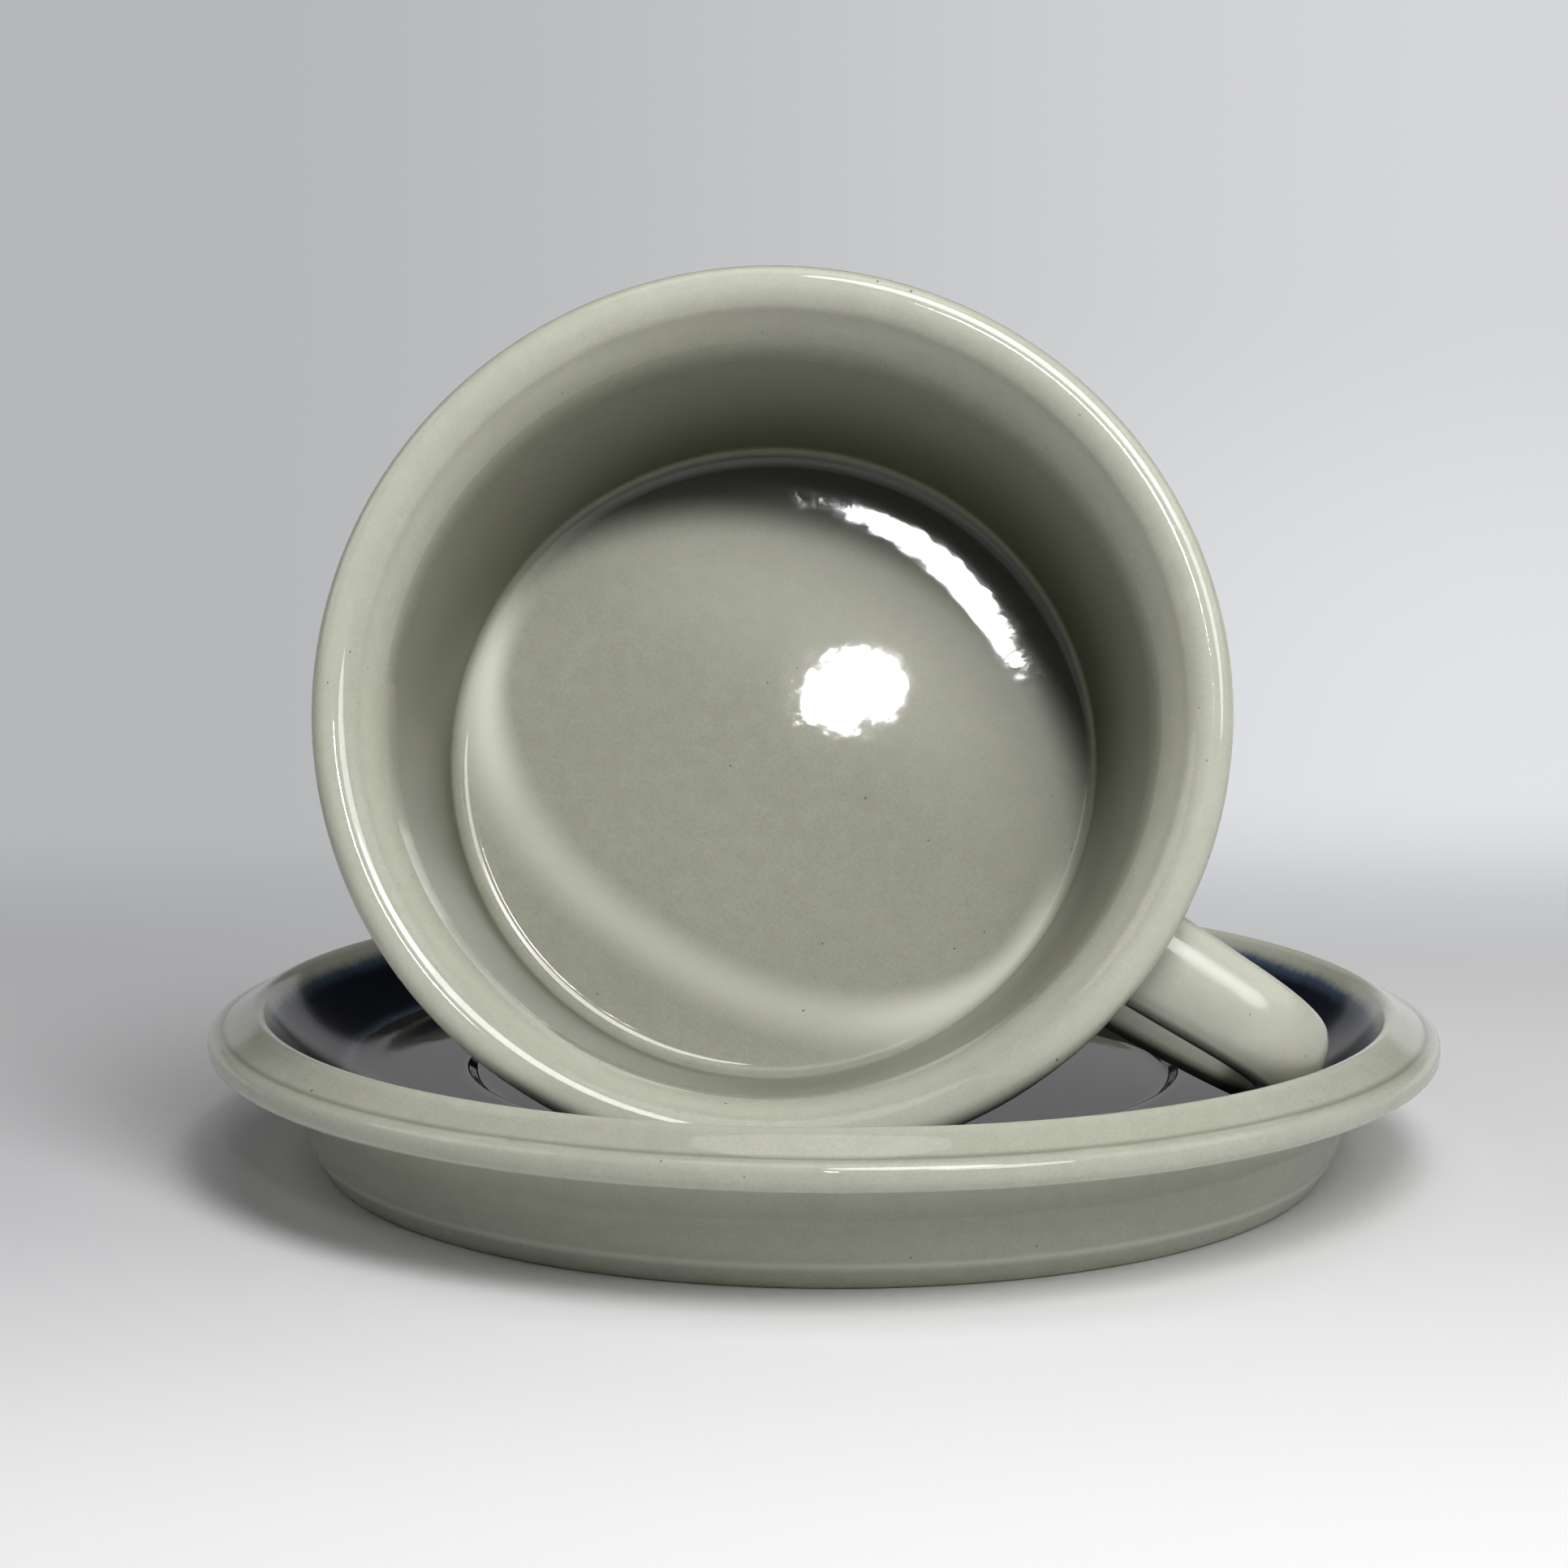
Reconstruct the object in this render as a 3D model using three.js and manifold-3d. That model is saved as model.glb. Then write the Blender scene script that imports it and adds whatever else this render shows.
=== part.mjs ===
// A glazed stoneware cup that lies on its side in its saucer.
// Millimetres, +Z up. The origin is the middle of the saucer's foot, on the table.
import * as THREE from "three";
import { mergeVertices } from "three/addons/utils/BufferGeometryUtils.js";
import Module from "manifold-3d";

const radians = THREE.MathUtils.degToRad;

// Saucer. An inset is measured inwards from its edge, a height up from the table.
const saucerRadius = 82.5;
const beadHeight = 15.3; // underside of the bead round the edge
const beadDepth = 3.3; // from the bead's underside to its shoulder
const beadRound = 1.5;
const stepInset = 2.0; // crease between the bead and the ridge's slope
const stepRise = 0.3; // of the crease above the bead's shoulder
const stepRound = 0.3;
const ridgeInset = 6.75;
const ridgeHeight = 21.85; // of its corner, before the rounding takes off the tip
const ridgeRound = 1.3;
const coveInset = 12.96; // corner where the rim's inside meets the floor
const coveRound = 18.5;
const floorHeight = 12.4;
const saucerFloorThickness = 4.3; // under the well
const saucerWallInset = 9.6; // top of the outer wall, under the bead
const saucerWallDrop = 0.9; // from the bead's underside down to that top
const saucerWallTaper = 3.7; // how far the outer wall draws in on its way down
const saucerWallRound = 2.0;
const saucerFootChamfer = 3.1;
const saucerFootChamferInset = 1.9;
const saucerFootWidth = 3.5;

// Shallow well in the saucer, where the upright cup's foot stands.
const wellDepth = 1.5;
const wellClearance = 2.9; // round the foot of the cup
const wellSlope = 1.4; // width of its sloping side
const wellRound = 0.9;

// Cup, in its own frame: the foot on z = 0, the mouth up.
const cupRadius = 55.7; // outside of the lip
const cupHeight = 44.4; // of the lip's outer corner
const lipDepth = 4.1; // height of the lip's edge
const lipRound = 1.5; // of its lower corner
const lipTopRound = 2.0;
const crestInset = 4.9; // where the lip's top face turns down into the bevel
const crestDrop = 0.35; // how much lower the top face lies there
const crestRound = 3.5;
const bevelInset = 8.1; // lower end of the bevel
const bevelDepth = 6.9;
const bevelRound = 2.5;
const cupWallThickness = 3.9; // under the lip
const cupWallRound = 2.0;
const cupFloorInset = 2.15; // inside, where the wall meets the floor, from the outer wall's bottom
const cupFloorThickness = 4.3; // in the middle
const cupCoveRound = 2.6;
const dishDepth = 0.5; // how much lower the middle of the floor lies than its edge
const dishInset = 6.55; // from the floor's edge
const dishRound = 120;
const cupFootRadius = 43.9; // bottom of the outer wall
const cupFootChamfer = 3.3;
const cupFootChamferInset = 2.3;
const cupFootWidth = 3.4;
const cupFootDepth = 4.7; // of the recess inside the foot ring

// Foot rings of both pieces.
const footChamferRound = 0.8;
const footOuterRound = 0.6;
const footInnerRound = 0.8;
const recessDraft = 0.8; // slope of the recess's side
const recessRound = 1.8;

// Handle: a strap with a crowned outer face, in the plane y = 0 of the cup's frame.
const strapWidth = 13.3; // at the wall
const strapEndWidth = 11.3; // at the handle's far side
const strapThickness = 6.2;
const strapCrown = 2.2; // rise of the outer face at its middle
const strapInnerCrown = 0.4;
const strapRound = 1.8;
const handleReach = 24.7; // from the lip's outside to the strap's outer face
const handleDrop = 8.2; // from the lip's outer corner down to the strap's outer face
const handleBend = 11; // size of the turn at the end of the upper arm
const gripLength = 10; // pull of the grip on the lower turn
const handleSweep = 18; // pull of the lower root on the lower turn
const lowerRootHeight = 8.6;
const rootDepth = 2; // ends of the strap's path, within the foot of the wall

// How the cup lies in the saucer.
const restGap = 0.3; // between pieces that touch
const seamGap = 0.3; // between the handle and the wall that it is luted to
const cupShift = -6.1; // sideways place of the spot that the lip rests on
const cupTurn = radians(0.6);
const steepestTilt = radians(80);
const rollStride = radians(2);
const searchSteps = 40;

// Fineness of the round shapes.
const latheSegments = 64;
const roundingError = 0.06; // between a rounded corner's facets and its true curve
const strapSteps = 28;
const strapCurveSteps = 4;
const mergeDistance = 1e-4;

// Glaze.
const saucerColor = 0x8f9285;
const cupColor = 0xa2a497;
const glazeRoughness = 0.15;

const wasm = await Module();
wasm.setup();

// Rounds the corners of an open outline. A corner is [across, up, rounding].
// Where two roundings would meet on one side, both are made smaller in step.
function roundCorners(corners) {
  const at = corners.map(([across, up]) => new THREE.Vector2(across, up));
  const last = at.length - 1;
  const halfAngles = at.map((point, i) => {
    if (i === 0 || i === last) return Math.PI / 2;
    return at[i - 1].clone().sub(point).angleTo(at[i + 1].clone().sub(point)) / 2;
  });
  const wanted = corners.map(([, , rounding], i) => (rounding || 0) / Math.tan(halfAngles[i]));
  const room = (i) => at[i].distanceTo(at[i + 1]) / (wanted[i] + wanted[i + 1] || 1);
  return at.flatMap((point, i) => {
    if (!corners[i][2]) return [point];
    const reach = wanted[i] * Math.min(1, room(i - 1), room(i));
    const radius = reach * Math.tan(halfAngles[i]);
    const back = at[i - 1].clone().sub(point).normalize();
    const ahead = at[i + 1].clone().sub(point).normalize();
    const start = point.clone().addScaledVector(back, reach);
    const inwards = back.clone().add(ahead).normalize();
    const centre = point.clone().addScaledVector(inwards, reach / Math.cos(halfAngles[i]));
    const turn = (Math.PI - 2 * halfAngles[i]) * -Math.sign(back.cross(ahead));
    const stepTurn = 2 * Math.acos(1 - roundingError / radius);
    const steps = Math.max(2, Math.ceil(Math.abs(turn) / stepTurn));
    return Array.from({ length: steps + 1 }, (_, k) =>
      start.clone().rotateAround(centre, (turn * k) / steps),
    );
  });
}

// A closed solid from any geometry whose faces point outwards.
function toSolid(geometry) {
  geometry.deleteAttribute("normal");
  geometry.deleteAttribute("uv");
  const merged = mergeVertices(geometry, mergeDistance);
  const mesh = new wasm.Mesh({
    numProp: 3,
    vertProperties: merged.attributes.position.array,
    triVerts: new Uint32Array(merged.index.array),
  });
  return new wasm.Manifold(mesh);
}

function toGeometry(solid) {
  const mesh = solid.getMesh();
  const geometry = new THREE.BufferGeometry();
  geometry.setAttribute("position", new THREE.BufferAttribute(mesh.vertProperties, 3));
  geometry.setIndex(new THREE.BufferAttribute(mesh.triVerts, 1));
  geometry.computeVertexNormals();
  return geometry;
}

// Turns an outline about Z. It runs from the axis below to the axis above.
function turned(outline) {
  return toSolid(new THREE.LatheGeometry(outline, latheSegments).rotateX(Math.PI / 2));
}

// Saucer

const wellHeight = floorHeight - wellDepth;
const wellRadius = cupFootRadius + wellClearance;
const saucerWallRadius = saucerRadius - saucerWallInset - saucerWallTaper;
const saucerFootRadius = saucerWallRadius - saucerFootChamferInset;
const rimSlope = Math.atan2(ridgeHeight - floorHeight, coveInset - ridgeInset);
const floorEdge = saucerRadius - coveInset - coveRound * Math.tan(rimSlope / 2);

function saucerTop() {
  return roundCorners([
    [saucerRadius, beadHeight],
    [saucerRadius, beadHeight + beadDepth, beadRound],
    [saucerRadius - stepInset, beadHeight + beadDepth + stepRise, stepRound],
    [saucerRadius - ridgeInset, ridgeHeight, ridgeRound],
    [saucerRadius - coveInset, floorHeight, coveRound],
    [wellRadius + wellSlope, floorHeight, wellRound],
    [wellRadius, wellHeight, wellRound],
    [0, wellHeight],
  ]);
}

function saucerUnderside() {
  const recessHeight = wellHeight - saucerFloorThickness;
  const footInside = saucerFootRadius - saucerFootWidth;
  return roundCorners([
    [0, recessHeight],
    [footInside - recessDraft, recessHeight, recessRound],
    [footInside, 0, footInnerRound],
    [saucerFootRadius, 0, footOuterRound],
    [saucerWallRadius, saucerFootChamfer, footChamferRound],
    [saucerWallRadius + saucerWallTaper, beadHeight - saucerWallDrop, saucerWallRound],
    [saucerRadius, beadHeight, beadRound],
    [saucerRadius, beadHeight + beadDepth],
  ]);
}

function saucerSolid() {
  return turned([...saucerUnderside().slice(0, -1), ...saucerTop().slice(1)]);
}

// Cup body

const cupWallTop = [cupRadius - bevelInset + cupWallThickness, cupHeight - bevelDepth];
const cupFootOuter = cupFootRadius - cupFootChamferInset;
const cupFootInner = cupFootOuter - cupFootWidth;
const cupFloorRadius = cupFootRadius - cupFloorInset;
const dishHeight = cupFootDepth + cupFloorThickness;

function cupOutside() {
  return roundCorners([
    [cupFootInner, 0],
    [cupFootOuter, 0, footOuterRound],
    [cupFootRadius, cupFootChamfer, footChamferRound],
    [...cupWallTop, cupWallRound],
    [cupRadius, cupHeight - lipDepth, lipRound],
    [cupRadius, cupHeight, lipTopRound],
    [cupRadius - crestInset, cupHeight - crestDrop],
  ]);
}

function cupInside() {
  return roundCorners([
    [cupRadius, cupHeight],
    [cupRadius - crestInset, cupHeight - crestDrop, crestRound],
    [cupRadius - bevelInset, cupHeight - bevelDepth, bevelRound],
    [cupFloorRadius, dishHeight + dishDepth, cupCoveRound],
    [cupFloorRadius - dishInset, dishHeight, dishRound],
    [0, dishHeight],
  ]);
}

function cupUnderside() {
  return roundCorners([
    [0, cupFootDepth],
    [cupFootInner - recessDraft, cupFootDepth, recessRound],
    [cupFootInner, 0, footInnerRound],
    [cupFootOuter, 0],
  ]);
}

function cupSolid() {
  return turned([
    ...cupUnderside().slice(0, -1),
    ...cupOutside().slice(1, -1),
    ...cupInside().slice(1),
  ]);
}

// Handle

// Across the strap: x runs inwards through its thickness, y over its width.
// The middle of each curved face lies half as far out as its control point.
function strapSection() {
  const outer = strapCrown - strapThickness / 2;
  const inner = strapThickness / 2 - strapInnerCrown;
  const round = Math.min(strapRound, (inner - outer) / 2);
  const side = strapWidth / 2;
  const flat = side - round;
  const section = new THREE.Shape();
  section.moveTo(outer, flat);
  section.quadraticCurveTo(outer - 2 * strapCrown, 0, outer, -flat);
  section.quadraticCurveTo(outer, -side, outer + round, -side);
  section.lineTo(inner - round, -side);
  section.quadraticCurveTo(inner, -side, inner, -flat);
  section.quadraticCurveTo(inner + 2 * strapInnerCrown, 0, inner, flat);
  section.quadraticCurveTo(inner, side, inner - round, side);
  section.lineTo(outer + round, side);
  section.quadraticCurveTo(outer, side, outer, flat);
  return section;
}

// Draws the strap in from its full width at the wall to its width at the far side.
function narrow(strap) {
  const position = strap.attributes.position;
  const farSide = cupRadius + handleReach;
  for (let i = 0; i < position.count; i++) {
    const share = THREE.MathUtils.inverseLerp(cupWallTop[0], farSide, position.getX(i));
    const width = THREE.MathUtils.lerp(strapWidth, strapEndWidth, share);
    position.setY(i, (position.getY(i) * width) / strapWidth);
  }
}

// Out along the upper arm, over the bend, down the grip and back to the wall.
function strapPath() {
  const root = cupFootRadius - rootDepth;
  const out = cupRadius + handleReach - strapThickness / 2;
  const armHeight = cupHeight - handleDrop - strapThickness / 2;
  const start = new THREE.Vector3(root, 0, armHeight);
  const armEnd = new THREE.Vector3(out - handleBend, 0, armHeight);
  const bend = new THREE.Vector3(out, 0, armHeight);
  const gripTop = new THREE.Vector3(out, 0, armHeight - handleBend);
  const gripPull = new THREE.Vector3(out, 0, armHeight - handleBend - gripLength);
  const rootPull = new THREE.Vector3(root + handleSweep, 0, lowerRootHeight);
  const end = new THREE.Vector3(root, 0, lowerRootHeight);
  const path = new THREE.CurvePath();
  path.add(new THREE.LineCurve3(start, armEnd));
  path.add(new THREE.QuadraticBezierCurve3(armEnd, bend, gripTop));
  path.add(new THREE.CubicBezierCurve3(gripTop, gripPull, rootPull, end));
  return path;
}

function handleSolid() {
  const strap = new THREE.ExtrudeGeometry(strapSection(), {
    steps: strapSteps,
    curveSegments: strapCurveSteps,
    bevelEnabled: false,
    extrudePath: strapPath(),
  });
  narrow(strap);
  const cleared = cupOutside().map((point) => point.setX(point.x + seamGap));
  const wall = turned([new THREE.Vector2(0, 0), ...cleared, new THREE.Vector2(0, cupHeight)]);
  return toSolid(strap).subtract(wall);
}

// Resting place of the cup

// Lowest point of a turned outline whose axis rises from the level by the angle tilt.
function lowest(outline, tilt) {
  const heights = outline.map((point) => point.y * Math.sin(tilt) - point.x * Math.cos(tilt));
  const height = Math.min(...heights);
  return { height, point: outline[heights.indexOf(height)] };
}

// Value between low and high where the test starts to be true.
function search(low, high, test) {
  let [before, after] = [low, high];
  for (let i = 0; i < searchSteps; i++) {
    const middle = (before + after) / 2;
    if (test(middle)) after = middle;
    else before = middle;
  }
  return after;
}

// The lip rests on the saucer's floor where it starts to rise, the foot in the well.
function restingFrame() {
  const outside = cupOutside();
  const middle = cupHeight / 2;
  const lip = outside.filter((point) => point.y > middle);
  const foot = outside.filter((point) => point.y < middle);
  const rise = (tilt) => lowest(lip, tilt).height - lowest(foot, tilt).height;
  const tilt = search(0, steepestTilt, (angle) => rise(angle) > wellDepth);
  const spot = lowest(lip, tilt).point;
  const forward = spot.y * Math.cos(tilt) + spot.x * Math.sin(tilt);
  const lay = new THREE.Group();
  lay.position.set(
    cupShift - forward * Math.sin(cupTurn),
    forward * Math.cos(cupTurn) - Math.sqrt(floorEdge ** 2 - cupShift ** 2),
    wellHeight + restGap - lowest(foot, tilt).height,
  );
  lay.rotation.set(Math.PI / 2 - tilt, 0, cupTurn, "ZYX");
  return lay;
}

// Gap from a point to the saucer's top, negative inside the saucer.
function gapToSaucer(point, top) {
  const spot = new THREE.Vector2(Math.hypot(point.x, point.y), point.z);
  let gap = Infinity;
  for (let i = 1; i < top.length; i++) {
    const run = top[i].clone().sub(top[i - 1]);
    const offset = spot.clone().sub(top[i - 1]);
    const above = offset.cross(run) > 0;
    const share = THREE.MathUtils.clamp(offset.dot(run) / run.lengthSq(), 0, 1);
    const distance = offset.addScaledVector(run, -share).length();
    if (distance < Math.abs(gap)) gap = above ? distance : -distance;
  }
  return gap;
}

// The cup rolls to the right until its handle rests on the saucer.
function rollToRest(lay, roll, handle) {
  const top = saucerTop();
  const position = handle.geometry.attributes.position;
  const corner = new THREE.Vector3();
  const touches = (angle) => {
    roll.rotation.z = -angle;
    lay.updateMatrixWorld(true);
    for (let i = 0; i < position.count; i++) {
      corner.fromBufferAttribute(position, i).applyMatrix4(handle.matrixWorld);
      if (gapToSaucer(corner, top) < restGap) return true;
    }
    return false;
  };
  let angle = 0;
  while (angle < Math.PI / 2 && !touches(angle + rollStride)) angle += rollStride;
  roll.rotation.z = -search(angle, angle + rollStride, touches);
}

function piece(name, solid, color) {
  const finish = { color, roughness: glazeRoughness, metalness: 0 };
  const mesh = new THREE.Mesh(toGeometry(solid), new THREE.MeshStandardMaterial(finish));
  mesh.name = name;
  return mesh;
}

const group = new THREE.Group();
group.add(piece("saucer", saucerSolid(), saucerColor));

const lay = restingFrame();
const roll = new THREE.Group();
const handle = piece("cup_handle", handleSolid(), cupColor);
roll.add(piece("cup_body", cupSolid(), cupColor), handle);
lay.add(roll);
group.add(lay);
rollToRest(lay, roll, handle);

export default group;
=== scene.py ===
from math import ceil, cos, pi, radians, sin, tan

import bmesh
import bpy
from mathutils import Matrix, Vector


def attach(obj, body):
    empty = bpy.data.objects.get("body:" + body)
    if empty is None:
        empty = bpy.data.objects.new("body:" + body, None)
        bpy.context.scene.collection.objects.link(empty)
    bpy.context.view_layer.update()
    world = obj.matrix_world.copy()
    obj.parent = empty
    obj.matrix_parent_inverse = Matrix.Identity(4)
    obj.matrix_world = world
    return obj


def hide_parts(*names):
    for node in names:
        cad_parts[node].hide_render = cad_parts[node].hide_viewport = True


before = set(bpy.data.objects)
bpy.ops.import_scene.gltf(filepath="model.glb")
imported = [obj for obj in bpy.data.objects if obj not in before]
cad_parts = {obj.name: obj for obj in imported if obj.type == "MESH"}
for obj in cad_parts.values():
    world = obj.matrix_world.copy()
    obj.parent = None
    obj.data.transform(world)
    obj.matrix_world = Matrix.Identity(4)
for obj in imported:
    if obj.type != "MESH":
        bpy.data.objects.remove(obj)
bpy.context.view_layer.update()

MM = 0.001

# The cup's inner wall runs from the corner of its floor to its bevel. Millimetres.
FLOOR_RADIUS, FLOOR_HEIGHT = 41.75, 9.5
BEVEL_RADIUS, BEVEL_HEIGHT = 47.6, 37.5

# Outlines of the turned pieces in millimetres: the radius, height and rounding of each corner.
# They run from the axis below, round the edge, to the axis above.
SAUCER = [
    (0, 6.6, 0),
    (63.0, 6.6, 1.8),
    (63.8, 0, 0.8),
    (67.3, 0, 0.6),
    (69.2, 3.1, 0.8),
    (72.9, 14.4, 2.0),
    (82.5, 15.3, 1.5),
    (82.5, 18.6, 1.5),
    (80.5, 18.9, 0.3),
    (75.75, 21.85, 1.3),
    (69.54, 12.4, 18.5),
    (48.2, 12.4, 0.9),
    (46.8, 10.9, 0.9),
    (0, 10.9, 0),
]
CUP = [
    (0, 4.7, 0),
    (37.4, 4.7, 1.8),
    (38.2, 0, 0.8),
    (41.6, 0, 0.6),
    (43.9, 3.3, 0.8),
    (51.5, 37.5, 2.0),
    (55.7, 40.3, 1.5),
    (55.7, 44.4, 2.0),
    (50.8, 44.05, 3.5),
    (BEVEL_RADIUS, BEVEL_HEIGHT, 1.0),
    (FLOOR_RADIUS, FLOOR_HEIGHT, 2.6),
    (35.2, 9.0, 120),
    (0, 9.0, 0),
]

# The handle lies in the plane y = 0 of the cup's own frame. Millimetres.
# Each corner of the strap's section is its place inwards, its place across and its rounding.
STRAP_WIDTH = 13.3
STRAP_SECTION = [
    (-0.9, STRAP_WIDTH / 2, 1.7),
    (-5.3, 0, 11.0),
    (-0.9, -STRAP_WIDTH / 2, 1.7),
    (2.7, -STRAP_WIDTH / 2, 1.7),
    (3.5, 0, 50.0),
    (2.7, STRAP_WIDTH / 2, 1.7),
]
# The strap's middle runs out along the upper arm, round the bend and back down the grip.
# Each curve is its guide points and the number of steps along it.
STRAP_PATH = [
    ([(48.5, 0, 33.1), (66.3, 0, 33.1)], 16),
    ([(66.3, 0, 33.1), (77.3, 0, 33.1), (77.3, 0, 22.1)], 20),
    ([(77.3, 0, 22.1), (77.3, 0, 12.1), (59.9, 0, 8.6), (43.6, 0, 8.6)], 36),
]
# The strap narrows from its full width at the wall to its least width at its far side.
LEAST_WIDTH = 11.3
TAPER_FROM, TAPER_TO = 51.5, 80.4

# Where the pieces stand. In its own frame the cup has its foot on z = 0 and its mouth up.
LEVEL = Matrix.Identity(4)
CUP_PLACE = (
    Matrix.Translation(Vector((-6.69375302, -2.54969665, 51.42429845)) * MM)
    @ Matrix.Rotation(radians(0.6), 4, "Z")
    @ Matrix.Rotation(radians(70.369137), 4, "X")
    @ Matrix.Rotation(radians(-32.65445), 4, "Z")
)

# Fineness of the shapes
SPIN_STEPS = 180
ARC_SIDE = 0.45 * MM  # sides of a rounded corner
STRAIGHT_SIDE = 1.5 * MM  # sides along a straight stretch or a slow curve
STRAP_SIDE = 0.9 * MM
SLOW_CURVE = 10 * MM  # a rounding from here on is a slow curve
FEWEST_SIDES = 3
MOST_OF_SIDE = 0.98  # a rounding takes no more than this share of a side


# Shapes


def round_corner(shape, corner, rounding):
    """Rounds a corner of a wire to an arc that touches both of its sides."""
    sides = [edge.other_vert(corner).co - corner.co for edge in corner.link_edges]
    half = sides[0].angle(sides[1]) / 2
    reach = min([rounding / tan(half)] + [side.length * MOST_OF_SIDE for side in sides])
    arc = reach * tan(half) * (pi - 2 * half)
    longest = ARC_SIDE if rounding < SLOW_CURVE else STRAIGHT_SIDE
    bmesh.ops.bevel(
        shape, geom=[corner], offset=reach, offset_type="OFFSET", affect="VERTICES",
        segments=max(FEWEST_SIDES, ceil(arc / longest)), profile=0.5, material=-1,
    )


def divide(shape, longest):
    """Cuts the long sides of a wire into even short ones."""
    for edge in list(shape.edges):
        cuts = int(edge.calc_length() / longest)
        if cuts:
            bmesh.ops.subdivide_edges(shape, edges=[edge], cuts=cuts)


def wire(shape, places, closed=False):
    """Draws a wire through places and gives back its points."""
    points = [shape.verts.new(place) for place in places]
    following = points[1:] + points[:1] if closed else points[1:]
    for first, second in zip(points, following):
        shape.edges.new((first, second))
    return points


def outline(shape, corners, longest, closed=False):
    """Draws a wire through corners in millimetres, rounds them and divides the long sides."""
    points = wire(shape, [(x * MM, y * MM, z * MM) for x, y, z, _ in corners], closed)
    for point, (_, _, _, rounding) in zip(points, corners):
        if rounding:
            round_corner(shape, point, rounding * MM)
    divide(shape, longest)


def finish_mesh(shape, name, place):
    """Closes the seams, turns the faces outwards, puts the shape in its place and shows it."""
    bmesh.ops.remove_doubles(shape, verts=shape.verts, dist=MM / 1000)
    bmesh.ops.recalc_face_normals(shape, faces=shape.faces)
    bmesh.ops.transform(shape, matrix=place, verts=shape.verts)
    for face in shape.faces:
        face.smooth = True
    mesh = bpy.data.meshes.new(name)
    shape.to_mesh(mesh)
    shape.free()
    piece = bpy.data.objects.new(name, mesh)
    bpy.context.scene.collection.objects.link(piece)
    return piece


def turned(name, corners, place):
    """A closed pot: its outline spun about the axis."""
    shape = bmesh.new()
    corners = [(radius, 0, height, rounding) for radius, height, rounding in corners]
    outline(shape, corners, STRAIGHT_SIDE)
    bmesh.ops.spin(
        shape, geom=shape.verts[:] + shape.edges[:], cent=(0, 0, 0), axis=(0, 0, 1),
        dvec=(0, 0, 0), angle=2 * pi, steps=SPIN_STEPS, use_merge=True, use_duplicate=False,
    )
    return finish_mesh(shape, name, place)


def curve_point(guides, share):
    """The place at a share of the way along a Bezier curve, and the curve's direction there."""
    guides = [Vector(guide) for guide in guides]
    while len(guides) > 2:
        guides = [first.lerp(second, share) for first, second in zip(guides, guides[1:])]
    return guides[0].lerp(guides[1], share), (guides[1] - guides[0]).normalized()


def strap_stations():
    """Where the strap's section stands, step by step along the strap."""
    stations = [curve_point(guides, k / steps) for guides, steps in STRAP_PATH for k in range(steps)]
    stations.append(curve_point(STRAP_PATH[-1][0], 1))
    return [section_place(point, direction) for point, direction in stations]


def section_place(point, direction):
    """Stands the section square to the path, with its x inwards and its y across the strap."""
    across = Vector((0, 1, 0))
    inwards = across.cross(direction)
    turn = Matrix((inwards, across, direction)).transposed().to_4x4()
    return Matrix.Translation(point * MM) @ turn


def strap(name, place):
    """The handle: the section drawn along the path. Its ends run on into the cup's wall."""
    shape = bmesh.new()
    corners = [(inwards, across, 0, rounding) for inwards, across, rounding in STRAP_SECTION]
    outline(shape, corners, STRAP_SIDE, closed=True)
    bmesh.ops.edgenet_fill(shape, edges=shape.edges[:])
    placed, *following = strap_stations()
    bmesh.ops.transform(shape, matrix=placed, verts=shape.verts)
    first = end = shape.faces[0]
    for station in following:
        made = bmesh.ops.extrude_face_region(shape, geom=[end])
        if end != first:
            bmesh.ops.delete(shape, geom=[end], context="FACES_ONLY")
        end = next(item for item in made["geom"] if isinstance(item, bmesh.types.BMFace))
        bmesh.ops.transform(shape, matrix=station @ placed.inverted(), verts=end.verts)
        placed = station
    for vert in shape.verts:
        share = (vert.co.x / MM - TAPER_FROM) / (TAPER_TO - TAPER_FROM)
        vert.co.y *= 1 + (LEAST_WIDTH / STRAP_WIDTH - 1) * share
    return finish_mesh(shape, name, place)


saucer = turned("saucer_glazed", SAUCER, LEVEL)
cup_body = turned("cup_body_glazed", CUP, CUP_PLACE)
cup_handle = strap("cup_handle_glazed", CUP_PLACE)


# Materials


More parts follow.
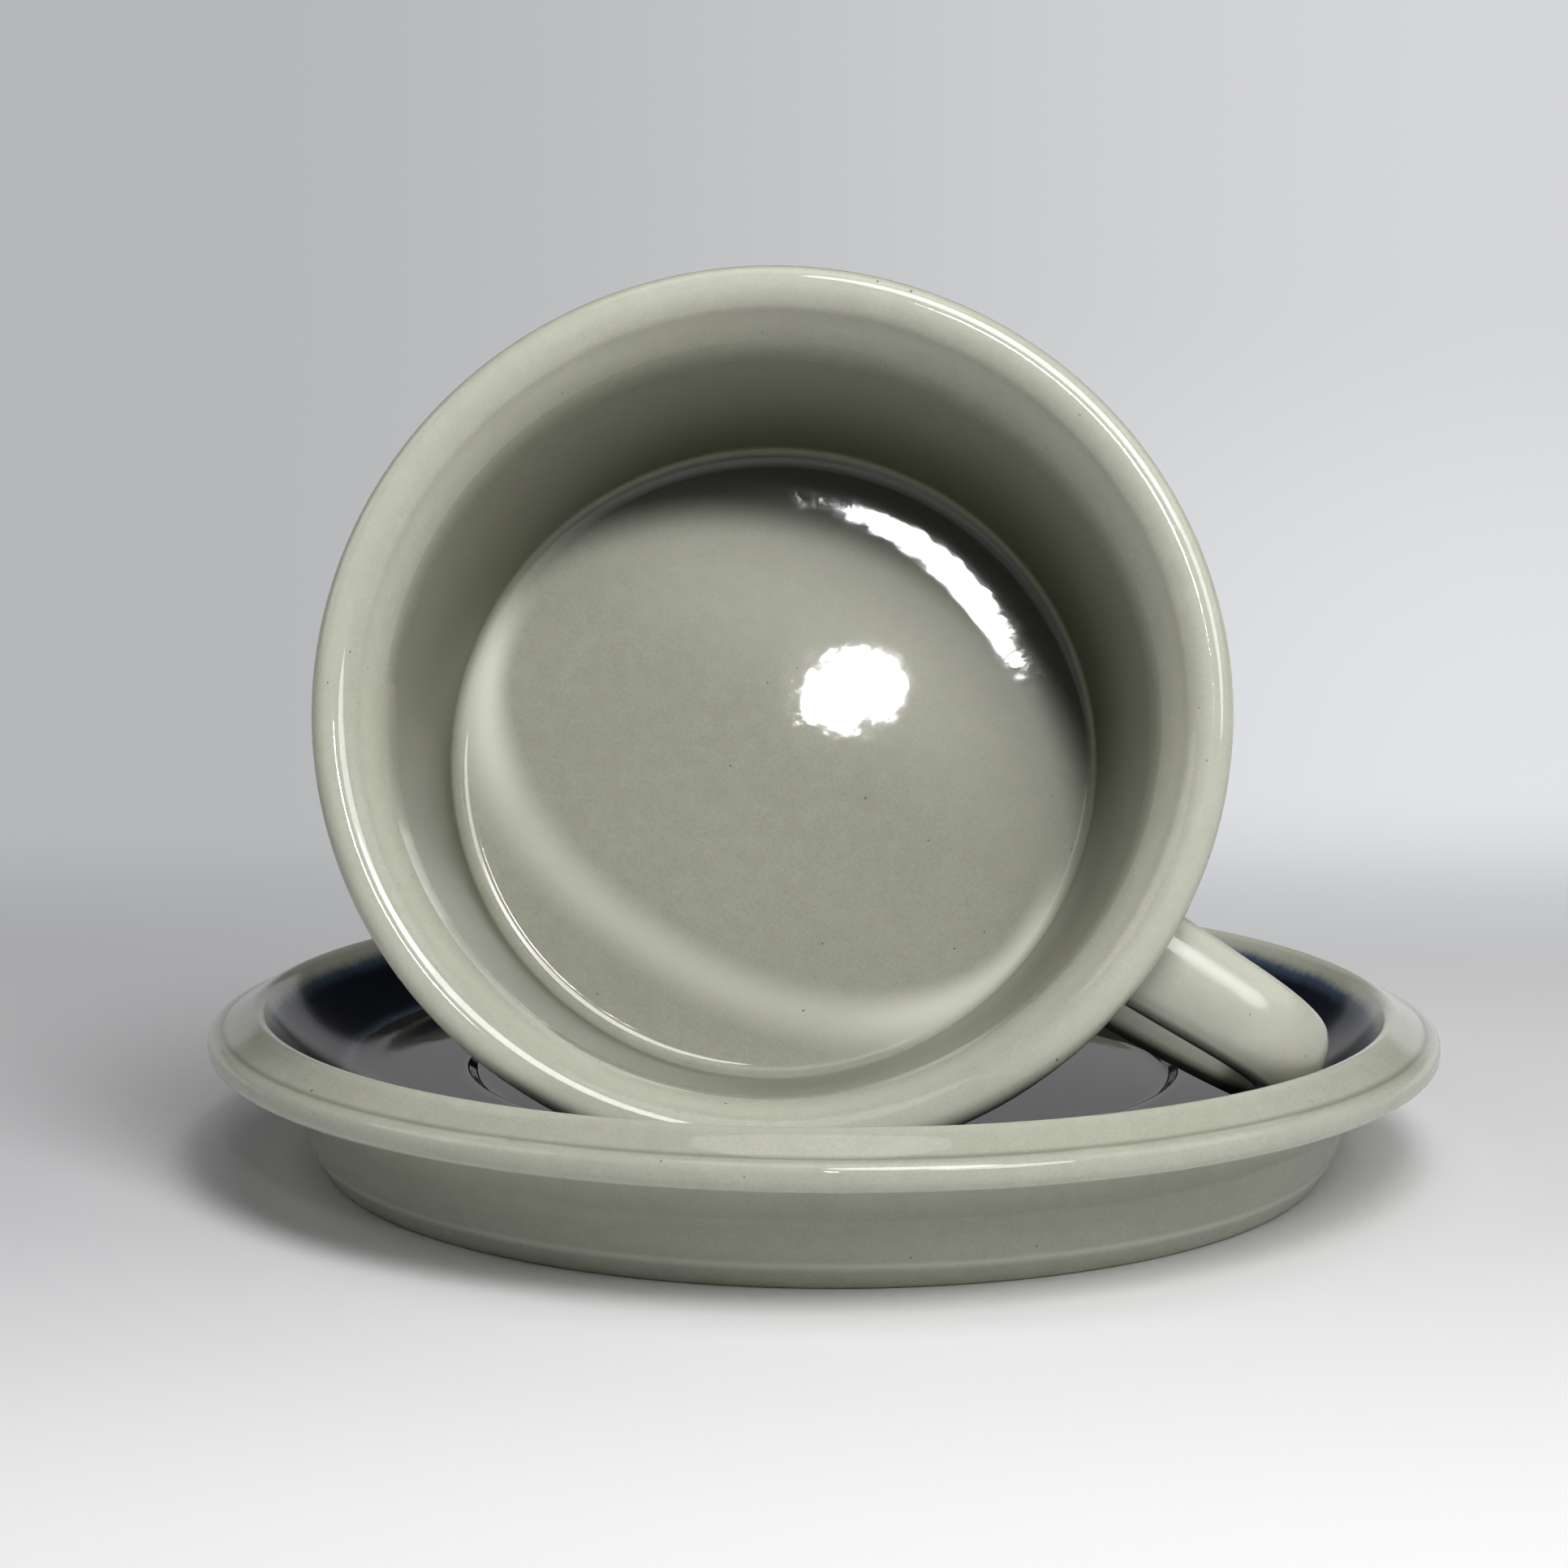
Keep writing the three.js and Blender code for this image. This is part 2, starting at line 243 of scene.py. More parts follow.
class Value:
    """An output of a node, with the sums that the finishes are written in."""

    def __init__(self, finish, socket):
        self.finish = finish
        self.socket = socket

    def maths(self, operation, *values):
        return self.finish.node("Math", {"operation": operation}, dict(enumerate(values)))

    def __add__(self, other):
        return self.maths("ADD", self, other)

    def __radd__(self, other):
        return self.maths("ADD", other, self)

    def __sub__(self, other):
        return self.maths("SUBTRACT", self, other)

    def __rsub__(self, other):
        return self.maths("SUBTRACT", other, self)

    def __mul__(self, other):
        return self.maths("MULTIPLY", self, other)

    def __rmul__(self, other):
        return self.maths("MULTIPLY", other, self)

    def __truediv__(self, other):
        return self.maths("DIVIDE", self, other)

    def __rtruediv__(self, other):
        return self.maths("DIVIDE", other, self)

    def __pow__(self, other):
        return self.maths("POWER", self, other)

    def __rpow__(self, other):
        return self.maths("POWER", other, self)

    def __neg__(self):
        return 0 - self

    def size(self):
        """The value without its sign."""
        return self.maths("ABSOLUTE", self)

    def at_least(self, other):
        return self.maths("MAXIMUM", self, other)

    def at_most(self, other):
        return self.maths("MINIMUM", self, other)

    def over(self, low, high):
        """0 below low, 1 above high and a smooth rise between them."""
        settings = {"interpolation_type": "SMOOTHSTEP"}
        return self.finish.node("MapRange", settings, {"Value": self, 1: low, 2: high})

    def under(self, low, high):
        """1 below low, 0 above high and a smooth fall between them."""
        return 1 - self.over(low, high)

    def near(self, middle, width):
        """1 at the middle, falling to 0 at the width on both sides."""
        return (self - middle).size().under(0, width)

    def beside(self, name):
        """Another output of the same node."""
        return Value(self.finish, self.socket.node.outputs[name])


class Finish:
    """A material or the world while it is built. Each call adds a node and gives its output."""

    def __init__(self, holder):
        self.holder = holder
        holder.use_nodes = True
        self.tree = holder.node_tree
        self.tree.nodes.clear()

    def node(self, kind, settings=None, sockets=None, output=0):
        """Adds a node. A plain colour for a socket has three parts."""
        node = self.tree.nodes.new("ShaderNode" + kind)
        for name, setting in (settings or {}).items():
            setattr(node, name, setting)
        for key, value in (sockets or {}).items():
            if isinstance(value, Value):
                self.tree.links.new(value.socket, node.inputs[key])
            elif node.inputs[key].type == "RGBA":
                node.inputs[key].default_value = (*value, 1)
            else:
                node.inputs[key].default_value = value
        return Value(self, node.outputs[output]) if node.outputs else None

    def axes(self, vector):
        """The three parts of a vector."""
        x = self.node("SeparateXYZ", {}, {"Vector": vector})
        return x, x.beside("Y"), x.beside("Z")

    def mix(self, share, first, second):
        """A colour between two colours. The node keeps colours in its sockets 6 and 7."""
        return self.node("Mix", {"data_type": "RGBA"}, {0: share, 6: first, 7: second}, output=2)

    def mix_shaders(self, share, first, second):
        return self.node("MixShader", {}, {0: share, 1: first, 2: second})

    def seen_directly(self):
        """1 for the rays of the camera, of reflections and of clear things, 0 for soft light."""
        camera = self.node("LightPath", output="Is Camera Ray")
        seen = camera + camera.beside("Is Glossy Ray") + camera.beside("Is Transmission Ray")
        return seen.at_most(1)

    def shown(self, shader, output="OutputMaterial"):
        """Ends the finish with its shader and gives back the material or the world."""
        self.node(output, {}, {"Surface": shader})
        return self.holder


# Glaze colours, and the colours of painted light and shade
SAGE = (0.430, 0.435, 0.355)
SAGE_LIGHT = (0.490, 0.495, 0.410)
SAGE_DEEP = (0.240, 0.250, 0.188)
SAGE_PALE = (0.66, 0.67, 0.57)
# painted light
PAINTED_LIGHT_ARC = (0.76, 0.77, 0.66)
# painted shade
PAINTED_SHADE = (0.082, 0.086, 0.048)
# the saucer's dark floor, and painted shadow on the cup's floor
DARK_GLAZE_AND_SHADOW = (0.025, 0.025, 0.020)
IRON = (0.035, 0.026, 0.018)
NAVY = (0.007, 0.009, 0.016)
NAVY_THIN = (0.055, 0.085, 0.125)
CLAY = (0.36, 0.27, 0.19)

# Patterns in the glaze: cells in a metre, layers of detail and how strong the finer layers are.
CLOUDS = (30, 2, 0.5)
MOTTLING = (420, 4, 0.6)
GRAIN = (2200, 3, 0.7)
WAVES = (28, 1, 0.4)
RIPPLES = (170, 2, 0.5)
PEEL = (650, 2, 0.5)
WANDERING = (90, 3, 0.6)
FRAYING = (700, 2, 0.6)

# The noise levels over which the patterns fade in, and the shares that they take
PATCH_FADE = (0.3, 0.75)
MOTTLING_SHARE, CLOUDS_SHARE = 0.6, 0.4
GRAIN_FADE = (0.4, 0.75)
GRAIN_SHARE = 0.24

# How deep the uneven surface of the glaze goes
WAVE_DEPTH = 0.10 * MM
RIPPLE_DEPTH = 0.014 * MM
PEEL_DEPTH = 0.0014 * MM
GRAIN_DEPTH = 0.0008 * MM

# Gloss
GLAZE_ROUGHNESS = 0.022
GRAIN_ROUGHNESS = 0.012
CLAY_ROUGHNESS = 0.65
GLAZE_IOR = 1.5

# Iron specks: cells in a metre, share of the cells left empty and size in a cell.
SPECKS = [(230, 0.80, 0.055), (480, 0.86, 0.075)]
SPECK_STRENGTH = 0.8
SPECK_CORE = 0.5  # share of a speck's size that has the full strength
PICK_FADE = 0.01

# The bare clay of the foot ring fades out over these heights, and its edge wanders. Millimetres.
WIPED = (0.10, 0.40)
WIPED_WANDER = 0.4


class Glaze(Finish):
    """Glossy grey-green stoneware glaze. Its places are millimetres in the piece's own frame."""

    def __init__(self, name, place):
        super().__init__(bpy.data.materials.new(name))
        here = self.node("TexCoord", output="Object")
        turn = {"Vector": here, "Location": place.translation, "Rotation": place.to_euler("XYZ")}
        self.spot = self.node("Mapping", {"vector_type": "TEXTURE"}, turn)
        self.x, self.y, self.height = (part / MM for part in self.axes(self.spot))
        self.radius = (self.x * self.x + self.y * self.y) ** 0.5
        self.mottling = self.noise(MOTTLING)
        self.grain = self.noise(GRAIN)
        light = self.mottling.over(*PATCH_FADE) * MOTTLING_SHARE
        light = light + self.noise(CLOUDS).over(*PATCH_FADE) * CLOUDS_SHARE
        self.tone = self.mix(light, SAGE, SAGE_LIGHT)
        self.tint(self.grain.over(*GRAIN_FADE) * GRAIN_SHARE, SAGE_DEEP)
        self.roughness = GLAZE_ROUGHNESS + self.grain * GRAIN_ROUGHNESS

    def noise(self, pattern):
        per_metre, detail, roughness = pattern
        sockets = {"Vector": self.spot, "Scale": per_metre, "Detail": detail, "Roughness": roughness}
        return self.node("TexNoise", {}, sockets)

    def tint(self, share, colour):
        """Lays a colour over the tone."""
        self.tone = self.mix(share, self.tone, colour)

    def dull(self, amount):
        """Takes away some of the gloss."""
        self.roughness = self.roughness + amount

    def tint_rings(self, rings, colour):
        """Tints rings round the axis: radius, height and width in millimetres, and strength."""
        for radius, height, width, strength in rings:
            ring = self.radius.near(radius, width) * self.height.near(height, width)
            self.tint(ring * strength, colour)

    def scatter_specks(self):
        """Puts a small dark speck into some of the cells of a grid without order."""
        for per_metre, empty, size in SPECKS:
            sockets = {"Vector": self.spot, "Scale": per_metre, "Randomness": 1.0}
            distance = self.node("TexVoronoi", {}, sockets)
            chance = self.node("SeparateColor", {}, {"Color": distance.beside("Color")})
            speck = chance.over(empty, empty + PICK_FADE) * distance.under(size * SPECK_CORE, size)
            self.tint(speck * SPECK_STRENGTH, IRON)

    def wipe_foot(self):
        """Wipes the glaze off the bottom of the foot ring, with a slightly uneven edge."""
        bare = (self.height + (self.mottling - 0.5) * WIPED_WANDER).under(*WIPED)
        self.tint(bare, CLAY)
        self.dull(bare * CLAY_ROUGHNESS)

    def uneven(self):
        """The socket for the tilt of the surface, from long waves down to the grain."""
        layers = [
            (self.noise(WAVES), WAVE_DEPTH),
            (self.noise(RIPPLES), RIPPLE_DEPTH),
            (self.noise(PEEL), PEEL_DEPTH),
            (self.grain, GRAIN_DEPTH),
        ]
        tilt = {}
        for height, depth in layers:
            sockets = {"Height": height, "Distance": depth, "Strength": 1.0, **tilt}
            tilt = {"Normal": self.node("Bump", {}, sockets)}
        return tilt

    def gloss(self):
        """The sockets of the glaze's shader."""
        sockets = {"Base Color": self.tone, "Roughness": self.roughness, "IOR": GLAZE_IOR}
        return {**sockets, **self.uneven()}


# The saucer. Deeper glaze in its step, painted shade in its corner under the bead and over the wall
# beneath it, and painted light on its crest, its bead and the edge of its foot: radius, height and
# width in millimetres, and strength.
SAUCER_POOLS_AND_SHADE = [(80.5, 18.9, 0.7, 0.75), (73.2, 14.5, 0.8, 0.5), (71.3, 9.0, 7.0, 0.45)]
SAUCER_EDGE_LIGHT = [(75.6, 21.3, 2.6, 0.35), (82.3, 18.2, 1.4, 0.15), (69.2, 3.1, 0.9, 0.6)]

# The dark blue band lies between two radii on the rim's inner slope. Its edges stray slowly and
# finely, and its thin and its full blue fade in and out over these radii. Millimetres.
BAND_INNER, BAND_OUTER = 64.06, 73.8
BAND_WANDER, BAND_FRAY = 0.9, 0.5
THIN_BLUE_IN = (BAND_INNER - 0.9, BAND_INNER + 0.3)
THIN_BLUE_OUT = (BAND_OUTER - 0.4, BAND_OUTER + 0.9)
FULL_BLUE_IN = (BAND_INNER - 0.1, BAND_INNER + 1.6)
FULL_BLUE_OUT = (BAND_OUTER - 1.7, BAND_OUTER + 0.1)
DARK_FLOOR_OUT = (BAND_INNER - 0.6, BAND_INNER + 0.6)

# The slope lies above a line that starts at this radius and height and rises by this much for
# each millimetre outwards.
SLOPE_RADIUS, SLOPE_HEIGHT, SLOPE_RISE = 64, 12.0, 0.4
ABOVE_SLOPE = (0, 0.2)
ABOVE_UNDERSIDE = (9.0, 9.2)  # heights inside the clay of the saucer's floor

# The gloss is quiet on the dark floor, more so towards the right, and on the band.
QUIET_SPECULAR = 0.13  # the shader's specular level there
QUIET_LEAST = 0.55
QUIET_RIGHT = (-25, 40)
QUIET_BAND = (BAND_INNER, BAND_INNER + 2.0)
QUIET_BAND_SHARE = 0.95
QUIET_OUT = (BAND_OUTER - 1.0, BAND_OUTER + 1.0)

# The saucer is duller towards its left and right ends.
ENDS = (48, 70)
ENDS_DULL = 0.10


def lay_band(glaze):
    """Lays the dark floor and the dark blue band round it, and gives how quiet the gloss is."""
    edge = glaze.radius + (glaze.noise(WANDERING) - 0.5) * BAND_WANDER
    edge = edge + (glaze.noise(FRAYING) - 0.5) * BAND_FRAY
    slope = SLOPE_HEIGHT + (glaze.radius - SLOPE_RADIUS) * SLOPE_RISE
    on_slope = (glaze.height - slope).over(*ABOVE_SLOPE)
    on_top = glaze.height.over(*ABOVE_UNDERSIDE)
    glaze.tint(edge.under(*DARK_FLOOR_OUT) * on_top, DARK_GLAZE_AND_SHADOW)
    glaze.tint(edge.over(*THIN_BLUE_IN) * edge.under(*THIN_BLUE_OUT) * on_slope, NAVY_THIN)
    glaze.tint(edge.over(*FULL_BLUE_IN) * edge.under(*FULL_BLUE_OUT) * on_slope, NAVY)
    glaze.dull(glaze.x.size().over(*ENDS) * ENDS_DULL)
    quiet = QUIET_LEAST + glaze.x.over(*QUIET_RIGHT) * (1 - QUIET_LEAST)
    quiet = quiet + (1 - quiet) * edge.over(*QUIET_BAND) * QUIET_BAND_SHARE
    return edge.under(*QUIET_OUT) * on_top * quiet


def saucer_glaze():
    glaze = Glaze("saucer_glaze", LEVEL)
    # deeper glaze in the step, painted shade under the bead and painted light on the edges
    glaze.tint_rings(SAUCER_POOLS_AND_SHADE, SAGE_DEEP)
    glaze.tint_rings(SAUCER_EDGE_LIGHT, SAGE_PALE)
    quiet = lay_band(glaze)
    glaze.scatter_specks()
    glaze.wipe_foot()
    gloss = glaze.gloss()
    shiny = glaze.node("BsdfPrincipled", {}, gloss)
    calm = glaze.node("BsdfPrincipled", {}, {**gloss, "Specular IOR Level": QUIET_SPECULAR})
    return glaze.shown(glaze.mix_shaders(quiet, shiny, calm))


# The cup. In its own frame +x points to the handle, to the right and down as the cup lies, and +y
# points up and to the right.
# Deeper glaze in the floor's corner and under the lip outside, and painted light on the lip's crest
# and on its inner bevel: radius, height and width in millimetres, and strength.
CUP_POOLS = [(41.7, 9.6, 0.8, 0.3), (51.6, 37.6, 0.8, 0.4)]
CUP_EDGE_LIGHT = [(53.5, 44.0, 3.5, 0.35), (49.4, 41.0, 3.6, 0.35)]

# The tones of the inside end this far into the wall, and those of the wall and of the floor fade
# in and out over these heights. Millimetres.
INSIDE_ENDS = (0.6, 1.6)
WALL_FROM = (FLOOR_HEIGHT, FLOOR_HEIGHT + 2.5)
WALL_TO = (BEVEL_HEIGHT - 4.5, BEVEL_HEIGHT + 1.5)
FLOOR_FROM = (FLOOR_HEIGHT - 1.5, FLOOR_HEIGHT - 1.0)
FLOOR_TO = (FLOOR_HEIGHT + 0.2, FLOOR_HEIGHT + 2.0)

# Painted shade on the cup's inner wall: its share at the floor, what comes off it or on to it, and
# where those changes fade in and out.
WALL_SHADE = 0.92
LESS_AT_TOP = 0.35
MORE_ABOVE = 0.06
ABOVE = (-25, 35)
MORE_ON_LEFT = 0.12
LEFT = (10, 35)
LESS_BELOW = 0.36
BELOW_FROM = (-5, 30)
BELOW_TO = (5, 25)
BELOW_TOP = (FLOOR_HEIGHT, FLOOR_HEIGHT + 14)
WALL_DULL = 0.28
DULL_TO = (BEVEL_HEIGHT - 5.0, BEVEL_HEIGHT - 3.0)

# Painted light and shade on the cup's floor, as shares of the colour that is laid on
FLOOR_SHADE = 0.18
FLOOR_PAINTED_LIGHT = 0.45
UPPER_HALF = (0, 34)
SHADED_EDGE_SHARE = 0.95

# The painted shadow along the cup floor's upper edge lies outside a circle of this middle and
# radius, and comes on over the fade. Millimetres.
SHADED_EDGE_MIDDLE = (2.4, -16.1)
SHADED_EDGE_RADIUS = 44.8
SHADED_EDGE_FADE = 7.0

# The crescent of painted light on the cup's floor follows the lower part of a squarish oval.
# Millimetres.
CRESCENT_MIDDLE = 0.5
CRESCENT_HALF_WIDTH = 40.4
CRESCENT_DROP = 29.0
CRESCENT_SQUARENESS = 2.2
CRESCENT_LEAN = 0.1
CRESCENT_TOP = (-6, 8)
# Its width is a share of the oval's size, wider low down. Its strength grows towards both ends.
CRESCENT_WIDTH, CRESCENT_WIDER_BELOW = 0.075, 0.1
CRESCENT_BELOW = (4, 30)
CRESCENT_STRENGTH, CRESCENT_STRONGER_ENDS = 0.55, 0.4
CRESCENT_ENDS = (22, 36)


def inside_the_cup(glaze):
    """1 inside the slant of the cup's inner wall, 0 in the wall and outside it."""
    slope = (BEVEL_RADIUS - FLOOR_RADIUS) / (BEVEL_HEIGHT - FLOOR_HEIGHT)
    wall_radius = FLOOR_RADIUS + (glaze.height - FLOOR_HEIGHT) * slope
    return (glaze.radius - wall_radius).under(*INSIDE_ENDS)


def paint_cup_wall_shade(glaze, inside):
    """Paints shade on the inner wall, most of all near the floor, and dulls it."""
    wall = inside * glaze.height.over(*WALL_FROM) * glaze.height.under(*WALL_TO)
    left = (-glaze.x).over(*LEFT) * (-glaze.y).over(*LEFT)
    below = glaze.x.over(*BELOW_FROM) * glaze.y.under(*BELOW_TO) * glaze.height.under(*BELOW_TOP)
    shade = WALL_SHADE - glaze.height.over(FLOOR_HEIGHT, BEVEL_HEIGHT) * LESS_AT_TOP
    shade = shade + glaze.y.over(*ABOVE) * MORE_ABOVE + left * MORE_ON_LEFT - below * LESS_BELOW
    glaze.tint(wall * shade, PAINTED_SHADE)
    glaze.dull(wall * glaze.height.under(*DULL_TO) * WALL_DULL)


def paint_cup_floor_light_and_shade(glaze, inside):
    """Paints light on the floor's upper half and shade on its lower half, a shadow along its upper
    edge and a crescent of light below.
    """
    floor = inside * glaze.height.over(*FLOOR_FROM) * glaze.height.under(*FLOOR_TO)
    upper = glaze.y.over(*UPPER_HALF)
    glaze.tint(floor * (1 - upper) * FLOOR_SHADE, PAINTED_SHADE)
    glaze.tint(floor * upper * FLOOR_PAINTED_LIGHT, SAGE_PALE)

    across, along = SHADED_EDGE_MIDDLE
    reach = ((glaze.x - across) ** 2 + (glaze.y - along) ** 2) ** 0.5
    edge = reach.over(SHADED_EDGE_RADIUS, SHADED_EDGE_RADIUS + SHADED_EDGE_FADE)
    glaze.tint(edge * floor * SHADED_EDGE_SHARE, DARK_GLAZE_AND_SHADOW)

    sideways = (glaze.x - CRESCENT_MIDDLE).size()
    outwards = (sideways / CRESCENT_HALF_WIDTH) ** CRESCENT_SQUARENESS
    down = (glaze.y.size() / CRESCENT_DROP) ** CRESCENT_SQUARENESS
    oval = (outwards + down) ** (1 / CRESCENT_SQUARENESS)
    width = CRESCENT_WIDTH + (-glaze.y).over(*CRESCENT_BELOW) * CRESCENT_WIDER_BELOW
    lower_part = (glaze.y - glaze.x * CRESCENT_LEAN).under(*CRESCENT_TOP)
    strength = CRESCENT_STRENGTH + sideways.over(*CRESCENT_ENDS) * CRESCENT_STRONGER_ENDS
    glaze.tint(oval.near(1, width) * lower_part * floor * strength, PAINTED_LIGHT_ARC)


def cup_glaze():
    glaze = Glaze("cup_glaze", CUP_PLACE)
    glaze.tint_rings(CUP_POOLS, SAGE_DEEP)
    # painted light on the lip's crest and bevel
    glaze.tint_rings(CUP_EDGE_LIGHT, SAGE_PALE)
    inside = inside_the_cup(glaze)
    paint_cup_wall_shade(glaze, inside)
    paint_cup_floor_light_and_shade(glaze, inside)
    glaze.scatter_specks()
    glaze.wipe_foot()
    return glaze.shown(glaze.node("BsdfPrincipled", {}, glaze.gloss()))


# The handle: shares of the colours laid on, among them painted shade under the arm and inside the
# grip, and added roughness. The distances from the cup's axis and the heights over which they fade
# in and out are in millimetres.
ARM_PALE = 0.42
PALE_TO = (69, 80)
UNDER_ARM_SHADE = 0.85
UNDER_ARM_BOTTOM, UNDER_ARM_TOP = (25, 28), (31, 34)
UNDER_ARM_TO = (69, 74)
INNER_GRIP_SHADE = 0.8
INNER_GRIP_FROM, INNER_GRIP_TO = (69, 72), (74.4, 75.8)
INNER_GRIP_BOTTOM, INNER_GRIP_TOP = (8, 12), (28, 32)
HANDLE_DULL = 0.035
ARM_DULL = 0.13
ARM_FROM, ARM_TO = (56.5, 59), (68, 73)


def shade_handle(glaze):
    """Makes the arm paler and duller, and paints shade on the faces that look at the cup."""
    x, height = glaze.x, glaze.height
    glaze.tint(x.under(*PALE_TO) * ARM_PALE, SAGE_PALE)
    under_arm = height.over(*UNDER_ARM_BOTTOM) * height.under(*UNDER_ARM_TOP) * x.under(*UNDER_ARM_TO)
    glaze.tint(under_arm * UNDER_ARM_SHADE, PAINTED_SHADE)
    inner_grip = x.over(*INNER_GRIP_FROM) * x.under(*INNER_GRIP_TO)
    inner_grip = inner_grip * height.over(*INNER_GRIP_BOTTOM) * height.under(*INNER_GRIP_TOP)
    glaze.tint(inner_grip * INNER_GRIP_SHADE, PAINTED_SHADE)
    glaze.dull(HANDLE_DULL + x.over(*ARM_FROM) * x.under(*ARM_TO) * ARM_DULL)


def handle_glaze():
    glaze = Glaze("handle_glaze", CUP_PLACE)
    shade_handle(glaze)
    glaze.scatter_specks()
    glaze.wipe_foot()
    return glaze.shown(glaze.node("BsdfPrincipled", {}, glaze.gloss()))


for piece, body, node, slot, material in (
    (saucer, "saucer", "saucer", "saucer_glaze", saucer_glaze()),
    (cup_body, "cup", "cup_body", "cup_glaze", cup_glaze()),
    (cup_handle, "cup", "cup_handle", "cup_glaze", handle_glaze()),
):
    piece.data.materials.append(material)
    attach(piece, body)
    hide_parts(node)


# Studio, in metres

SWEEP_FRONT = -6.0
SWEEP_BEND = 0.42  # where the table and the slope behind it would meet
SWEEP_BACK, SWEEP_TOP = 0.86, 0.27
SWEEP_REACH = 0.27  # of the bend, along the table and up the slope
SWEEP_STEPS = 24
SWEEP_HALF_WIDTH = 6.0

# The paper by the object: its tones, with painted shade to the left and painted light towards the
# front, and where each passes into the next.
PAPER_LEFT = (0.72, 0.72, 0.74)
PAPER_RIGHT = (0.86, 0.86, 0.87)
PAPER_FRONT = (0.96, 0.96, 0.965)
PAPER_ROUGHNESS = 0.9
LEFT_TO_RIGHT = (-0.14, 0.16)
MIDDLE_TO_FRONT = (0.04, 0.16)

# The paper far off: its painted glow, in tones that follow how the light falls on it, darker to the
# left, and how far back or how high each passes into the next.
BACK_LEFT_LOW = (0.43, 0.44, 0.455)
BACK_LEFT = (0.47, 0.475, 0.485)
BACK_RIGHT_LOW = (0.61, 0.625, 0.645)
BACK_RIGHT = (0.765, 0.775, 0.80)
BACK_RIGHT_HIGH = (0.67, 0.675, 0.69)
LEFT_RISE = (0.18, 0.25)
RIGHT_RISE = (0.18, 0.28)
RIGHT_TOP = (0.01, 0.13)
# From left to right its tones fan out from a point in front of the saucer's middle.
FAN_POINT = 0.42
FAN_NEAREST = -0.2
FAN = (-0.20, 0.23)  # sideways for each metre from that point
# Where the far paper takes over from the paper by the object, backwards and all round.
FAR_BACK = (0.10, 0.24)
FAR_ROUND = (0.35, 0.70)

# The air above the paper
AIR_LIGHT = (0.96, 0.98, 1.0)
AIR_LIGHT_STRENGTH = 0.03
AIR_SEEN = (0.42, 0.43, 0.45)
AIR_TOP = (0.11, 0.22)  # upwards, where the pale air ends

LAMPS_AIM = Vector((-0.0066, -0.0105, 0.0542))
# Each lamp's name, azimuth from the front towards +X, elevation, distance, width, height and
# brightness. Degrees and metres.
LAMPS = [
    ("lamp_small", 2.4, 33.5, 1.2, 0.050, 0.034, 150),
    ("lamp_main", 22, 50.5, 0.45, 0.2, 0.2, 10.3),
    ("lamp_far", 36, 38, 1.1, 0.44, 0.44, 7.0),
    ("lamp_right", 80, 40, 0.8, 0.5, 0.5, 0.9),
    ("lamp_left", -80, 40, 0.8, 0.5, 0.5, 1.2),
    ("lamp_top", 0, 85, 0.8, 0.55, 0.55, 1.4),
]

LENS = 72.11
FILM_WIDTH = 36  # millimetres, as is the lens
CAMERA_PLACE = (0, -0.41976, 0.10732)
CAMERA_TURN, CAMERA_DIP, CAMERA_ROLL = 0.0128396, 0.1361369, 0.00331539  # radians
NEAREST_SEEN = 0.01


def sweep():
    """Pale paper that runs back over the table and bends up behind."""
    shape = bmesh.new()
    left = -SWEEP_HALF_WIDTH
    places = [(left, SWEEP_FRONT, 0), (left, SWEEP_BEND, 0), (left, SWEEP_BACK, SWEEP_TOP)]
    _, bend, _ = wire(shape, places)
    bmesh.ops.bevel(
        shape, geom=[bend], offset=SWEEP_REACH, offset_type="OFFSET", affect="VERTICES",
        segments=SWEEP_STEPS, profile=0.5, material=-1,
    )
    made = bmesh.ops.extrude_edge_only(shape, edges=shape.edges[:])
    moved = [item for item in made["geom"] if isinstance(item, bmesh.types.BMVert)]
    bmesh.ops.translate(shape, verts=moved, vec=(2 * SWEEP_HALF_WIDTH, 0, 0))
    return finish_mesh(shape, "studio_sweep", LEVEL)


